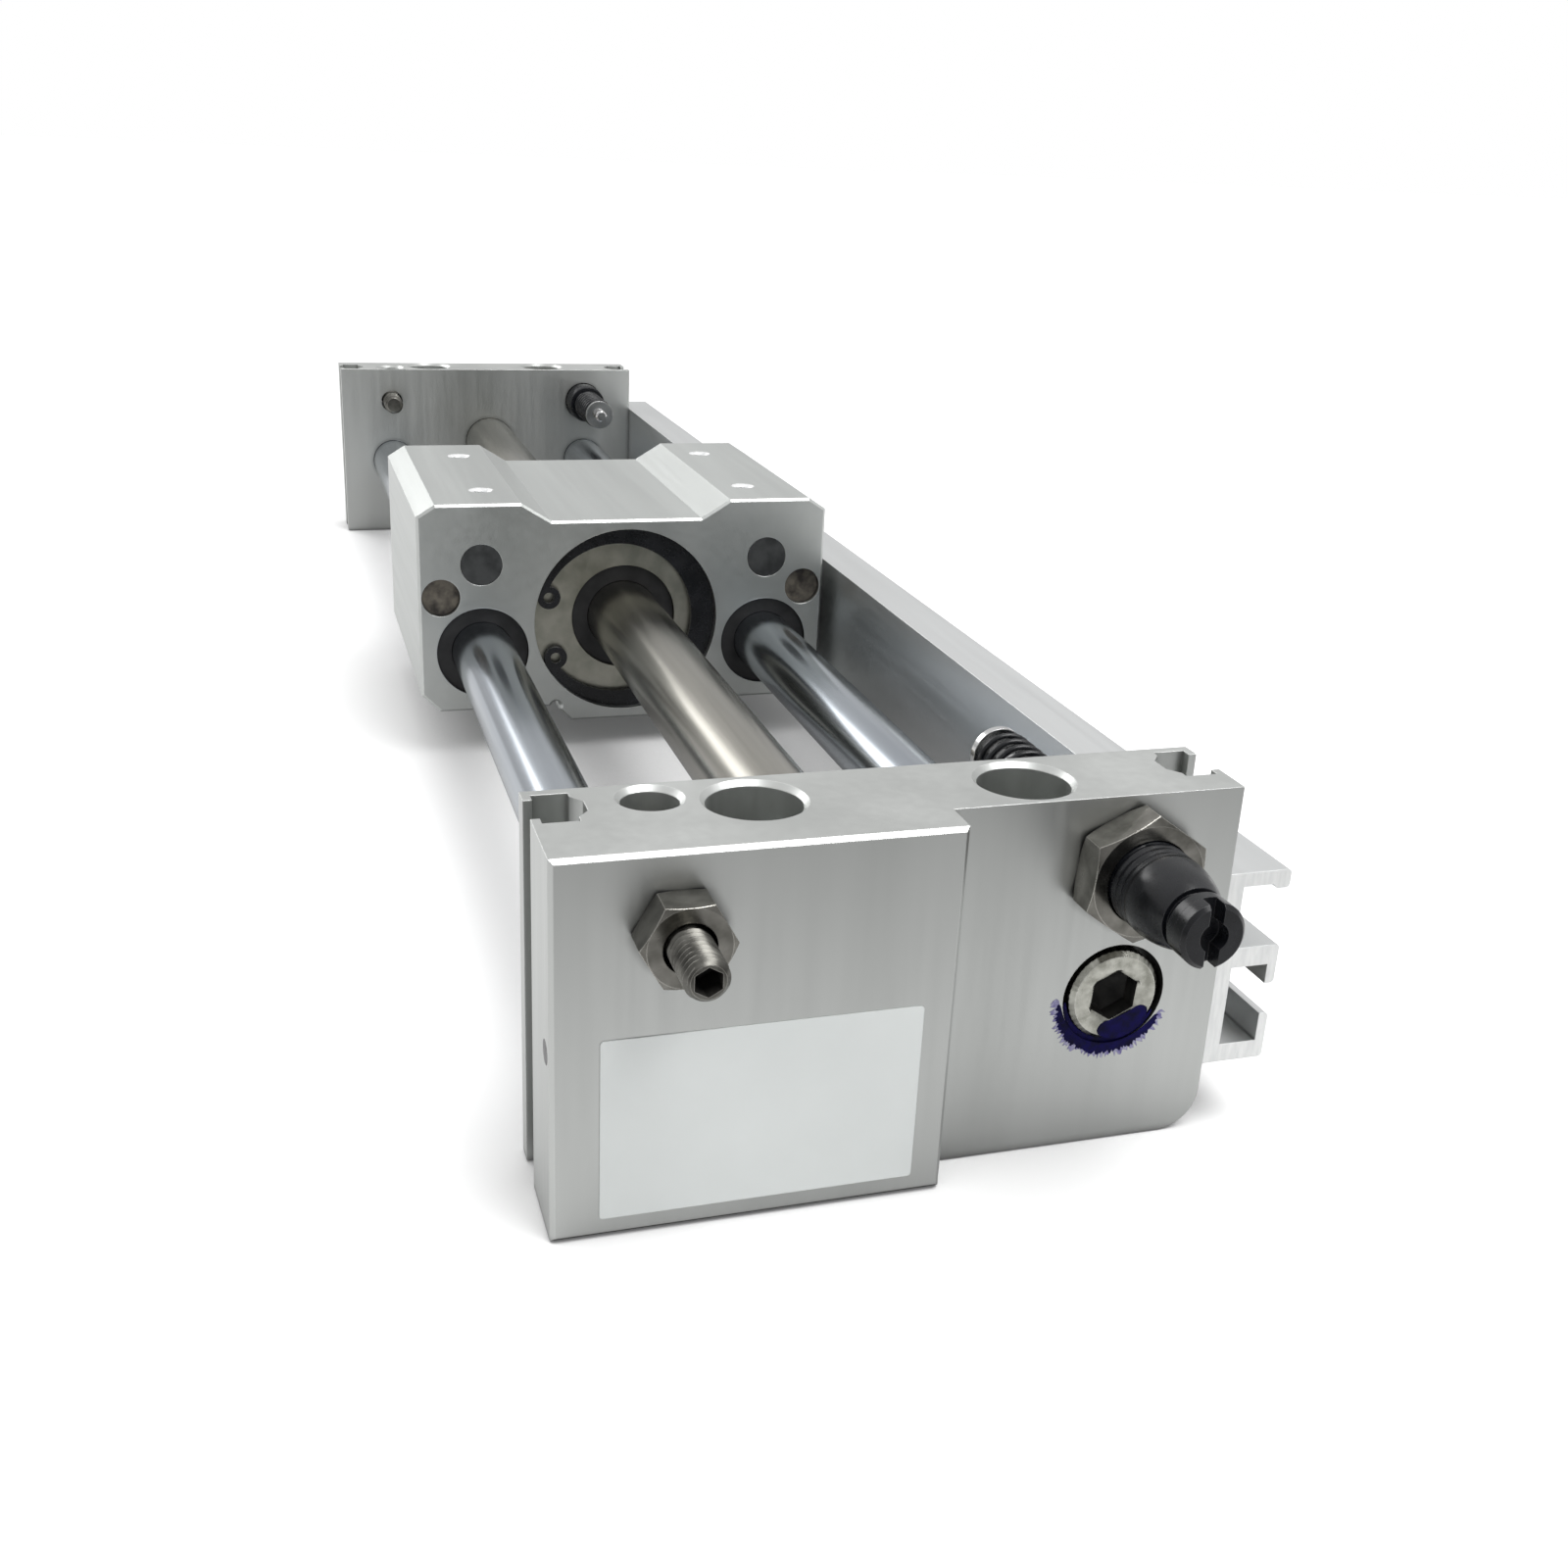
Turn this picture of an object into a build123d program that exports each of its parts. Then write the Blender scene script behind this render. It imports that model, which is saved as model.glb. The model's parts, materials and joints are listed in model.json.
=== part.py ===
from build123d import *
from math import cos, hypot, radians, sin
import os

# Rodless cylinder with a magnetically coupled slider on two guide shafts, in millimetres.
# X runs across the plates, Y along the stroke, Z up. The origin is the centre of the four
# base holes, on the plane that the plates stand on.

# Layout
stroke = 200.0
tube_height = 22.0
shaft_inset = 12.0
shaft_drop = 4.5
stop_drop = 7.8
stop_reach = 16.0
slider_offset = 2.0

# End plates
plate_width = 72.0
plate_height = 40.0
plate_thickness = 12.0
block_step = 4.6
block_reach = 4.0
corner_radius = 4.5
edge_break = 0.45
pocket_depth = 5.0
base_hole_inset = 21.8
base_hole_radius = 2.75
base_head_radius = 4.8
base_head_depth = 10.0
rim_chamfer = 0.55
lock_hole_radius = 2.9
lock_hole_setback = 3.7

# Slots in the ends of the plates
slot_setback = 4.6
slot_mouth = 4.6
slot_lip = 0.9
slot_cavity = 7.0
slot_nut_depth = 3.6
slot_tip_width = 5.2
slot_tip_depth = 1.1
slot_tip_flat = 2.4

# Cylinder tube and its seals
tube_outer = 12.0
tube_bore = 10.0
tube_seal_cord = 1.2
seal_groove_width = 1.8

# Guide shafts
shaft_diameter = 10.0
air_channel = 4.0
gasket_thickness = 1.0
gasket_outer = 8.6
gasket_hole = 4.8
cross_drill_radius = 1.25
cross_drill_inset = 2.2
cross_plug_length = 3.0
port_drill = 4.2

# Screws
screw_thread_radius = 3.0
screw_head_radius = 4.9
screw_head_height = 4.0
screw_head_sink = 0.5
screw_counterbore_radius = 5.8
screw_grip = 8.0
screw_socket = 5.0
screw_socket_depth = 2.4
set_screw_radius = 1.5
set_screw_length = 5.0
set_screw_socket = 1.5

# Stroke adjusting bolts
bolt_radius = 2.5
bolt_standout = 10.4
bolt_reach = 6.0
bolt_socket = 2.5
bolt_socket_depth = 3.5
bolt_end_chamfer = 0.5
bolt_nut_across = 8.0
bolt_nut_thickness = 4.0

# Shock absorbers
absorber_radius = 4.5
absorber_standout = 16.5
absorber_dome_start = 7.5
absorber_dome_radius = 3.9
absorber_neck_start = 12.0
absorber_neck_radius = 3.0
absorber_end_radius = 3.3
absorber_end_length = 3.2
absorber_slot_width = 1.1
absorber_slot_depth = 1.6
absorber_inner_standout = 6.0
absorber_bore_radius = 2.6
absorber_end_wall = 9.0
absorber_guide_length = 3.0
absorber_nut_across = 12.0
absorber_nut_thickness = 4.0
absorber_nut_turn = 25.0
rod_radius = 1.4
rod_stroke = 8.0
rod_piston_length = 4.0
rod_tip_length = 2.4
rod_tip_chamfer = 0.4
rod_flange_radius = 3.3
rod_flange_thickness = 1.0
spring_radius = 3.1
spring_wire = 0.8
spring_coils = 7.0

# Slider block, its walls counted from the bores for the cartridge and the bushes
slider_length = 52.0
slider_gap = 1.8
cartridge_wall = 1.42
recess_wall = 1.6
belly_wall = 1.7
skirt_wall = 2.5
pad_rise = 3.0
pad_width = 16.8
pad_slope = 4.9
shoulder_chamfer = 3.0
shoulder_fall = 1.9
belly_slope = 2.7
skirt_undercut = 3.5
skirt_groove_radius = 0.8
skirt_chamfer = 3.0
slider_edge_break = 0.4
carriage_hole_x = 45.0
carriage_hole_y = 30.0
carriage_tap_radius = 1.65
carriage_tap_depth = 7.0
carriage_tap_chamfer = 0.4
pad_radius = 3.35
pad_thickness = 4.0
magnet_hole_inset = 3.6
magnet_hole_rise = 4.9
magnet_hole_radius = 3.1
switch_magnet_length = 5.0
switch_magnet_sink = 0.9

# Bushes and wipers on the guide shafts
bush_radius = 7.5
bush_length = 18.0
wiper_thickness = 2.5
wiper_sink = 0.6

# Magnet cartridge in the slider
ring_sink = 1.5
ring_thickness = 1.2
ring_groove_depth = 0.8
ring_wide_side = 4.0
ring_thin_side = 1.4
ring_lug_radius = 1.9
ring_lug_inset = 2.1
ring_lug_hole = 0.9
ring_lug_angles = (163.0, 209.0)
washer_thickness = 2.0
washer_hole_radius = 8.8
scraper_thickness = 1.4
felt_thickness = 1.4
wear_length = 2.9
sleeve_wall = 2.6
magnet_count = 4
yoke_thickness = 2.0
tube_air_gap = 0.6

# Piston in the tube
core_radius = 1.5
inner_magnet_radius = 4.4
piston_length = 6.5
piston_seal_width = 2.0
piston_seal_depth = 1.3
piston_ring_width = 1.4
piston_ring_depth = 0.5
core_nut_across = 5.5
core_nut_thickness = 2.4
core_end = 0.6
bumper_radius = 4.2
bumper_thickness = 3.4

# Switch rail, heights counted from the tube axis
rail_top = 8.2
rail_bottom = 14.3
rail_width = 7.3
rail_web = 1.8
rail_flange = 1.6
rail_bead = 0.5
rail_bead_width = 1.5
rail_lip = 1.1
rail_round = 0.45
wide_slot_floor = 0.6
mid_flange_bottom = 2.9
narrow_slot_top = 5.2
narrow_slot_bottom = 8.9
narrow_slot_floor = 12.2
rail_screw_radius = 1.5
rail_head_radius = 2.7
rail_head_height = 1.6
rail_nut_across = 5.5
rail_nut_thickness = 2.4

# Clearances
thread_clearance = 0.05
seat_clearance = 0.05
running_clearance = 0.04

# Places worked out from the layout
plate_gap = stroke + slider_length + 2 * stop_reach
inner_face = plate_gap / 2
outer_face = inner_face + plate_thickness
block_face = outer_face + block_step
plate_centre = inner_face + plate_thickness / 2
slot_centre = inner_face + slot_setback
lock_hole_centre = inner_face + lock_hole_setback
shaft_height = tube_height - shaft_drop
stop_height = plate_height - stop_drop
shaft_x = plate_width / 2 - shaft_inset
stop_x = shaft_x
base_hole_x = plate_width / 2 - base_hole_inset
tube_radius = tube_outer / 2
bore_radius = tube_bore / 2
shaft_radius = shaft_diameter / 2
slider_front = slider_offset - slider_length / 2
slider_back = slider_offset + slider_length / 2
slider_half_width = plate_width / 2 - slider_gap
cartridge_radius = hypot(shaft_x, shaft_drop) - bush_radius - cartridge_wall
recess_height = cartridge_radius + recess_wall
pad_height = recess_height + pad_rise
pad_inner = slider_half_width - pad_width
recess_half_width = pad_inner - pad_slope
belly_depth = cartridge_radius + belly_wall
skirt_depth = shaft_drop + bush_radius + skirt_wall
skirt_inner = cartridge_radius - skirt_undercut
belly_half_width = skirt_inner - belly_slope
magnet_hole_x = slider_half_width - magnet_hole_inset
rod_reach = stop_reach + rod_stroke
cartridge_start = ring_sink + ring_thickness
washer_end = cartridge_start + washer_thickness
magnet_outer_radius = cartridge_radius - sleeve_wall
stack_length = slider_length - 2 * (washer_end + felt_thickness + wear_length)
magnet_length = (stack_length - (magnet_count + 1) * yoke_thickness) / magnet_count
cross_drill_y = -block_face + cross_drill_inset
cross_drill_z = (tube_height + shaft_height) / 2
magnet_height = tube_height + magnet_hole_rise
rail_head_seat = plate_width / 2 + rail_web
rail_nut_face = plate_width / 2 - slot_lip
rail_screw_height = tube_height - (narrow_slot_top + narrow_slot_bottom) / 2
screw_tap_depth = screw_grip + 2.0
set_screw_y = inner_face + (pocket_depth - gasket_thickness) / 2
sides = (-1, 1)

os.makedirs("parts", exist_ok=True)


def section(y):
    """Plane across the stroke at y, facing the front: its x is X and its y is Z."""
    return Plane(origin=(0, y, 0), x_dir=(1, 0, 0), z_dir=(0, -1, 0))


def lengthwise(x, z):
    """Plane along the stroke through an axis at x, z: its x is Y and its y is Z."""
    return Plane(origin=(x, 0, z), x_dir=(0, 1, 0), z_dir=(1, 0, 0))


def round_bar(x, z, start, length, radius, hole=0.0, mode=Mode.ADD):
    """A round bar, ring or hole along Y, from start towards the back."""
    with BuildSketch(section(start + length)) as profile:
        with Locations((x, z)):
            Circle(radius)
            if hole:
                Circle(hole, mode=Mode.SUBTRACT)
    extrude(profile.sketch, amount=length, mode=mode)


def hexagon_bar(x, z, start, length, across, hole=0.0, turn=0.0, mode=Mode.ADD):
    """A hexagonal nut or socket along Y, a flat on top unless it is turned."""
    with BuildSketch(section(start + length)) as profile:
        with Locations((x, z)):
            RegularPolygon(across / 2, 6, major_radius=False, rotation=turn)
            if hole:
                Circle(hole, mode=Mode.SUBTRACT)
    extrude(profile.sketch, amount=length, mode=mode)


def slot_outline(end):
    """The nut slot in one end of a plate, in plan, end -1 is the left and 1 the right."""
    depths = (-1.0, slot_lip, slot_lip, slot_lip + slot_nut_depth, slot_lip + slot_nut_depth,
              slot_lip + slot_nut_depth + slot_tip_depth)
    half_widths = (slot_mouth / 2, slot_mouth / 2, slot_cavity / 2, slot_cavity / 2,
                   slot_tip_width / 2, slot_tip_flat / 2)
    xs = [end * (plate_width / 2 - depth) for depth in depths]
    near = [(x, -slot_centre - half) for x, half in zip(xs, half_widths)]
    far = [(x, -slot_centre + half) for x, half in zip(xs, half_widths)]
    with BuildLine() as outline:
        Polyline(*near, *reversed(far), close=True)
    make_face(outline.edges(), mode=Mode.SUBTRACT)


def plate_profile():
    """The plan of a plate without its block, at the front end of the stroke."""
    with Locations((0, -plate_centre)):
        Rectangle(plate_width, plate_thickness)


def plate_features():
    """Cuts that both plates share, made at the front end of the stroke."""
    for side in sides:
        with Locations((side * base_hole_x, -plate_centre, plate_height)):
            CounterBoreHole(base_hole_radius, base_head_radius, base_head_depth)
    with Locations((-stop_x, -lock_hole_centre, plate_height)):
        Hole(lock_hole_radius, depth=plate_height - stop_height)
    round_bar(0, tube_height, -inner_face - pocket_depth, pocket_depth,
              tube_radius + seat_clearance, mode=Mode.SUBTRACT)
    round_bar(0, tube_height, -inner_face - (pocket_depth + seal_groove_width) / 2, seal_groove_width,
              tube_radius + 2 * seat_clearance + tube_seal_cord, mode=Mode.SUBTRACT)
    for side in sides:
        round_bar(side * shaft_x, shaft_height, -inner_face - pocket_depth, pocket_depth,
                  shaft_radius + seat_clearance, mode=Mode.SUBTRACT)
    round_bar(-stop_x, stop_height, -block_face - 1, block_face + 1 - inner_face,
              bolt_radius + thread_clearance, mode=Mode.SUBTRACT)
    round_bar(stop_x, stop_height, -outer_face, plate_thickness,
              absorber_radius + thread_clearance, mode=Mode.SUBTRACT)
    round_bar(shaft_x, shaft_height, -outer_face, plate_thickness,
              screw_thread_radius + thread_clearance, mode=Mode.SUBTRACT)
    round_bar(shaft_x, shaft_height, -outer_face, screw_head_height + screw_head_sink,
              screw_counterbore_radius, mode=Mode.SUBTRACT)
    with BuildSketch(Plane.XY) as profile:
        with Locations((-shaft_x, -set_screw_y)):
            Circle(set_screw_radius + thread_clearance)
    extrude(profile.sketch, amount=shaft_height, mode=Mode.SUBTRACT)


def top_rims(shape):
    """The rims of the round holes in the top of a plate."""
    return shape.edges().filter_by(GeomType.CIRCLE).group_by(Axis.Z)[-1]


# Front plate with the air manifold block that steps forward on its left part
with BuildPart() as front_plate:
    with BuildSketch(Plane.XY):
        plate_profile()
        with Locations((-plate_width / 2, -block_face)):
            Rectangle(plate_width / 2 + block_reach, block_step, align=(Align.MIN, Align.MIN))
        for end in sides:
            slot_outline(end)
    extrude(amount=plate_height)
    right_end = front_plate.edges().filter_by(Axis.Y).group_by(Axis.X)[-1]
    fillet(right_end.group_by(Axis.Z)[0], corner_radius)
    chamfer(front_plate.faces().sort_by(Axis.Y)[0].edges(), edge_break)
    plate_features()
    for x, z in ((0, tube_height), (-shaft_x, shaft_height)):
        round_bar(x, z, -block_face + 2 * edge_break, block_face - 2 * edge_break - inner_face,
                  air_channel / 2, mode=Mode.SUBTRACT)
    with BuildSketch(Plane.YZ.offset(-plate_width / 2)):
        with Locations((cross_drill_y, cross_drill_z)):
            Circle(cross_drill_radius)
    extrude(amount=plate_width / 2, mode=Mode.SUBTRACT)
    chamfer(top_rims(front_plate), rim_chamfer)
front_plate.part.label = "front_plate"
export_step(front_plate.part, "parts/front_plate.step")

# Rear plate, made at the front end and mirrored, with both air ports on its outer face
with BuildPart() as rear_blank:
    with BuildSketch(Plane.XY):
        plate_profile()
        for end in sides:
            slot_outline(end)
    extrude(amount=plate_height)
    chamfer(rear_blank.faces().sort_by(Axis.Y)[0].edges(), edge_break)
    plate_features()
    for x, z in ((0, tube_height), (-shaft_x, shaft_height)):
        round_bar(x, z, -outer_face, plate_thickness, port_drill / 2, mode=Mode.SUBTRACT)
    chamfer(top_rims(rear_blank), rim_chamfer)
with BuildPart() as rear_plate:
    mirror(rear_blank.part, about=Plane.XZ)
rear_plate.part.label = "rear_plate"
export_step(rear_plate.part, "parts/rear_plate.step")

# Cylinder tube, seated in a pocket in each plate
with BuildPart() as cylinder_tube:
    round_bar(0, tube_height, -inner_face - pocket_depth, plate_gap + 2 * pocket_depth,
              tube_radius, hole=bore_radius)
cylinder_tube.part.label = "cylinder_tube"
export_step(cylinder_tube.part, "parts/cylinder_tube.step")

# O-rings that seal the tube in the plates
with BuildPart() as tube_seals:
    for end in sides:
        with Locations(Location((0, end * (inner_face + pocket_depth / 2), tube_height), (90, 0, 0))):
            Torus(tube_radius + seat_clearance + tube_seal_cord / 2, tube_seal_cord / 2)
tube_seals.part.label = "tube_seals"
export_step(tube_seals.part, "parts/tube_seals.step")

# Left guide shaft, hollow, which carries the air between the plates
left_shaft_end = inner_face + pocket_depth - gasket_thickness
with BuildPart() as left_guide_shaft:
    round_bar(-shaft_x, shaft_height, -left_shaft_end, 2 * left_shaft_end, shaft_radius, hole=air_channel / 2)
left_guide_shaft.part.label = "left_guide_shaft"
export_step(left_guide_shaft.part, "parts/left_guide_shaft.step")

# Right guide shaft, solid, tapped at both ends
right_shaft_end = inner_face + pocket_depth
with BuildPart() as right_guide_shaft:
    round_bar(shaft_x, shaft_height, -right_shaft_end, 2 * right_shaft_end, shaft_radius)
    for start in (-right_shaft_end, right_shaft_end - screw_tap_depth):
        round_bar(shaft_x, shaft_height, start, screw_tap_depth, screw_thread_radius + thread_clearance,
                  mode=Mode.SUBTRACT)
right_guide_shaft.part.label = "right_guide_shaft"
export_step(right_guide_shaft.part, "parts/right_guide_shaft.step")

# Gaskets between the hollow shaft and the plates
with BuildPart() as shaft_gaskets:
    for start in (-left_shaft_end - gasket_thickness, left_shaft_end):
        round_bar(-shaft_x, shaft_height, start, gasket_thickness, gasket_outer / 2, hole=gasket_hole / 2)
shaft_gaskets.part.label = "shaft_gaskets"
export_step(shaft_gaskets.part, "parts/shaft_gaskets.step")

# Socket head screws that hold the plates on the right guide shaft
with BuildPart() as shaft_end_screws:
    head_start = -outer_face + screw_head_sink
    round_bar(shaft_x, shaft_height, head_start, screw_head_height, screw_head_radius)
    chamfer(shaft_end_screws.faces().sort_by(Axis.Y)[0].edges(), edge_break)
    round_bar(shaft_x, shaft_height, head_start + screw_head_height,
              -right_shaft_end + screw_grip - head_start - screw_head_height, screw_thread_radius)
    hexagon_bar(shaft_x, shaft_height, head_start, screw_socket_depth, screw_socket, mode=Mode.SUBTRACT)
    mirror(about=Plane.XZ)
shaft_end_screws.part.label = "shaft_end_screws"
export_step(shaft_end_screws.part, "parts/shaft_end_screws.step")

# Set screws that clamp the hollow shaft from below
with BuildPart() as shaft_set_screws:
    with BuildSketch(Plane.XY.offset(shaft_height - shaft_radius - set_screw_length)):
        with Locations((-shaft_x, -set_screw_y)):
            Circle(set_screw_radius)
    extrude(amount=set_screw_length)
    with BuildSketch(shaft_set_screws.faces().sort_by(Axis.Z)[0]):
        RegularPolygon(set_screw_socket / 2, 6, major_radius=False)
    extrude(amount=-set_screw_length / 2, mode=Mode.SUBTRACT)
    mirror(about=Plane.XZ)
shaft_set_screws.part.label = "shaft_set_screws"
export_step(shaft_set_screws.part, "parts/shaft_set_screws.step")

# Plug that closes the cross drilling of the manifold block
with BuildPart() as passage_plug:
    with BuildSketch(Plane.YZ.offset(-plate_width / 2)):
        with Locations((cross_drill_y, cross_drill_z)):
            Circle(cross_drill_radius - seat_clearance)
    extrude(amount=cross_plug_length)
passage_plug.part.label = "passage_plug"
export_step(passage_plug.part, "parts/passage_plug.step")


def adjusting_bolt(face):
    """Set bolt at the front end, face is the plate face that it comes out of."""
    start = -face - bolt_standout
    length = face + bolt_standout - inner_face + bolt_reach
    with BuildPart() as bolt:
        round_bar(-stop_x, stop_height, start, length, bolt_radius)
        chamfer(bolt.edges().filter_by(GeomType.CIRCLE), bolt_end_chamfer)
        hexagon_bar(-stop_x, stop_height, start, bolt_socket_depth, bolt_socket, mode=Mode.SUBTRACT)
    return bolt.part


def nut(x, z, start, thickness, across, hole, turn=0.0):
    """Hexagonal nut along Y with its corners turned off."""
    corner = across / 2 / cos(radians(30))
    fall = (corner - across / 2) * sin(radians(30)) / cos(radians(30))
    with BuildPart() as blank:
        with BuildSketch(lengthwise(x, z)):
            with BuildLine():
                Polyline((start, 0), (start, across / 2), (start + fall, corner),
                         (start + thickness - fall, corner), (start + thickness, across / 2),
                         (start + thickness, 0), close=True)
            make_face()
        revolve(axis=Axis((x, 0, z), (0, 1, 0)))
        hexagon_bar(x, z, start, thickness, across, turn=turn, mode=Mode.INTERSECT)
        round_bar(x, z, start, thickness, hole, mode=Mode.SUBTRACT)
    return blank.part


# Stroke adjusting bolts on the left
with BuildPart() as front_adjust_bolt:
    add(adjusting_bolt(block_face))
front_adjust_bolt.part.label = "front_adjust_bolt"
export_step(front_adjust_bolt.part, "parts/front_adjust_bolt.step")

with BuildPart() as rear_adjust_bolt:
    mirror(adjusting_bolt(outer_face), about=Plane.XZ)
rear_adjust_bolt.part.label = "rear_adjust_bolt"
export_step(rear_adjust_bolt.part, "parts/rear_adjust_bolt.step")

# Lock nuts of the adjusting bolts, one on the block and one on the rear plate
with BuildPart() as adjust_lock_nuts:
    add(nut(-stop_x, stop_height, -block_face - bolt_nut_thickness, bolt_nut_thickness,
            bolt_nut_across, bolt_radius + thread_clearance))
    mirror(nut(-stop_x, stop_height, -outer_face - bolt_nut_thickness, bolt_nut_thickness,
               bolt_nut_across, bolt_radius + thread_clearance), about=Plane.XZ)
adjust_lock_nuts.part.label = "adjust_lock_nuts"
export_step(adjust_lock_nuts.part, "parts/adjust_lock_nuts.step")

# Shock absorber body at the front end: threaded barrel, domed outer end with a driver slot
absorber_end = -outer_face - absorber_standout
absorber_mouth = -inner_face + absorber_inner_standout
absorber_bore_end = absorber_end + absorber_end_wall
with BuildPart() as front_absorber_body:
    with BuildSketch(lengthwise(stop_x, stop_height)):
        with BuildLine():
            knob = Polyline((absorber_bore_end, 0), (absorber_end, 0),
                            (absorber_end, absorber_end_radius - edge_break),
                            (absorber_end + edge_break, absorber_end_radius),
                            (absorber_end + absorber_end_length, absorber_end_radius),
                            (absorber_end + absorber_end_length, absorber_neck_radius),
                            (-outer_face - absorber_neck_start, absorber_neck_radius),
                            (-outer_face - absorber_neck_start, absorber_dome_radius))
            dome = TangentArc((-outer_face - absorber_dome_start, absorber_radius), knob @ 1,
                              tangent=(-1, 0), tangent_from_first=True)
            Polyline(dome @ 0, (absorber_mouth, absorber_radius), (absorber_mouth, absorber_bore_radius),
                     (absorber_bore_end, absorber_bore_radius), (absorber_bore_end, 0))
        make_face()
    revolve(axis=Axis((stop_x, 0, stop_height), (0, 1, 0)))
    with BuildSketch(section(absorber_end + absorber_slot_depth)):
        with Locations((stop_x, stop_height)):
            Rectangle(absorber_slot_width, 3 * absorber_end_radius)
    extrude(amount=absorber_slot_depth, mode=Mode.SUBTRACT)
front_absorber_body.part.label = "front_absorber_body"
export_step(front_absorber_body.part, "parts/front_absorber_body.step")

with BuildPart() as rear_absorber_body:
    mirror(front_absorber_body.part, about=Plane.XZ)
rear_absorber_body.part.label = "rear_absorber_body"
export_step(rear_absorber_body.part, "parts/rear_absorber_body.step")

# Lock nuts of the absorbers
with BuildPart() as absorber_lock_nuts:
    add(nut(stop_x, stop_height, -outer_face - absorber_nut_thickness, absorber_nut_thickness,
            absorber_nut_across, absorber_radius + thread_clearance, turn=absorber_nut_turn))
    mirror(about=Plane.XZ)
absorber_lock_nuts.part.label = "absorber_lock_nuts"
export_step(absorber_lock_nuts.part, "parts/absorber_lock_nuts.step")

# Guides in the mouths of the absorber bodies
with BuildPart() as absorber_rod_guides:
    round_bar(stop_x, stop_height, absorber_mouth - absorber_guide_length, absorber_guide_length,
              absorber_bore_radius - seat_clearance, hole=rod_radius + running_clearance)
    mirror(about=Plane.XZ)
absorber_rod_guides.part.label = "absorber_rod_guides"
export_step(absorber_rod_guides.part, "parts/absorber_rod_guides.step")

# Absorber rod with its damping piston inside the body and a spring flange near the tip
rod_tip = -inner_face + rod_reach
rod_piston_start = absorber_mouth - absorber_guide_length - rod_piston_length
flange_start = rod_tip - rod_tip_length - rod_flange_thickness
with BuildPart() as front_absorber_rod:
    round_bar(stop_x, stop_height, rod_piston_start, rod_tip - rod_piston_start, rod_radius)
    chamfer(front_absorber_rod.faces().sort_by(Axis.Y)[-1].edges(), rod_tip_chamfer)
    round_bar(stop_x, stop_height, rod_piston_start, rod_piston_length,
              absorber_bore_radius - running_clearance)
    round_bar(stop_x, stop_height, flange_start, rod_flange_thickness, rod_flange_radius)
front_absorber_rod.part.label = "front_absorber_rod"
export_step(front_absorber_rod.part, "parts/front_absorber_rod.step")

with BuildPart() as rear_absorber_rod:
    mirror(front_absorber_rod.part, about=Plane.XZ)
rear_absorber_rod.part.label = "rear_absorber_rod"
export_step(rear_absorber_rod.part, "parts/rear_absorber_rod.step")

# Return spring between the absorber body and the flange of its rod
spring_start = absorber_mouth + spring_wire / 2 + seat_clearance
spring_height = flange_start - absorber_mouth - spring_wire - 2 * seat_clearance
with BuildPart() as front_absorber_spring:
    with BuildLine():
        coil = Helix(pitch=spring_height / spring_coils, height=spring_height, radius=spring_radius,
                     center=(stop_x, spring_start, stop_height), direction=(0, 1, 0))
    with BuildSketch(Plane(origin=coil @ 0, z_dir=coil % 0)):
        Circle(spring_wire / 2)
    sweep(path=coil)
front_absorber_spring.part.label = "front_absorber_spring"
export_step(front_absorber_spring.part, "parts/front_absorber_spring.step")

with BuildPart() as rear_absorber_spring:
    mirror(front_absorber_spring.part, about=Plane.XZ)
rear_absorber_spring.part.label = "rear_absorber_spring"
export_step(rear_absorber_spring.part, "parts/rear_absorber_spring.step")


def rail_point(out, rise):
    """A point of the rail profile: out from the plate ends, rise above the tube axis."""
    return (plate_width / 2 + out, tube_height + rise)


# Switch rail along the right side: a wide open slot above a lipped narrow slot
with BuildPart() as switch_rail:
    with BuildSketch(section(outer_face)):
        with BuildLine():
            Polyline(rail_point(0, -rail_bottom), rail_point(0, rail_top), rail_point(rail_width, rail_top),
                     rail_point(rail_width, rail_top - rail_flange - rail_bead),
                     rail_point(rail_width - rail_bead_width, rail_top - rail_flange - rail_bead),
                     rail_point(rail_width - rail_bead_width - rail_bead, rail_top - rail_flange),
                     rail_point(rail_web, rail_top - rail_flange), rail_point(rail_web, -wide_slot_floor),
                     rail_point(rail_width, -wide_slot_floor), rail_point(rail_width, -narrow_slot_top),
                     rail_point(rail_width - rail_lip, -narrow_slot_top),
                     rail_point(rail_width - rail_lip, -mid_flange_bottom),
                     rail_point(rail_web, -mid_flange_bottom), rail_point(rail_web, -narrow_slot_floor),
                     rail_point(rail_width - rail_lip, -narrow_slot_floor),
                     rail_point(rail_width - rail_lip, -narrow_slot_bottom),
                     rail_point(rail_width, -narrow_slot_bottom), rail_point(rail_width, -rail_bottom),
                     close=True)
        make_face()
    extrude(amount=2 * outer_face)
    outer_edges = switch_rail.edges().filter_by(Axis.Y).group_by(Axis.X)[-1]
    fillet(outer_edges, rail_round)
    with BuildSketch(Plane.YZ.offset(plate_width / 2)):
        with Locations((-slot_centre, rail_screw_height), (slot_centre, rail_screw_height)):
            Circle(rail_screw_radius + thread_clearance)
    extrude(amount=rail_web, mode=Mode.SUBTRACT)
switch_rail.part.label = "switch_rail"
export_step(switch_rail.part, "parts/switch_rail.step")

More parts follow.
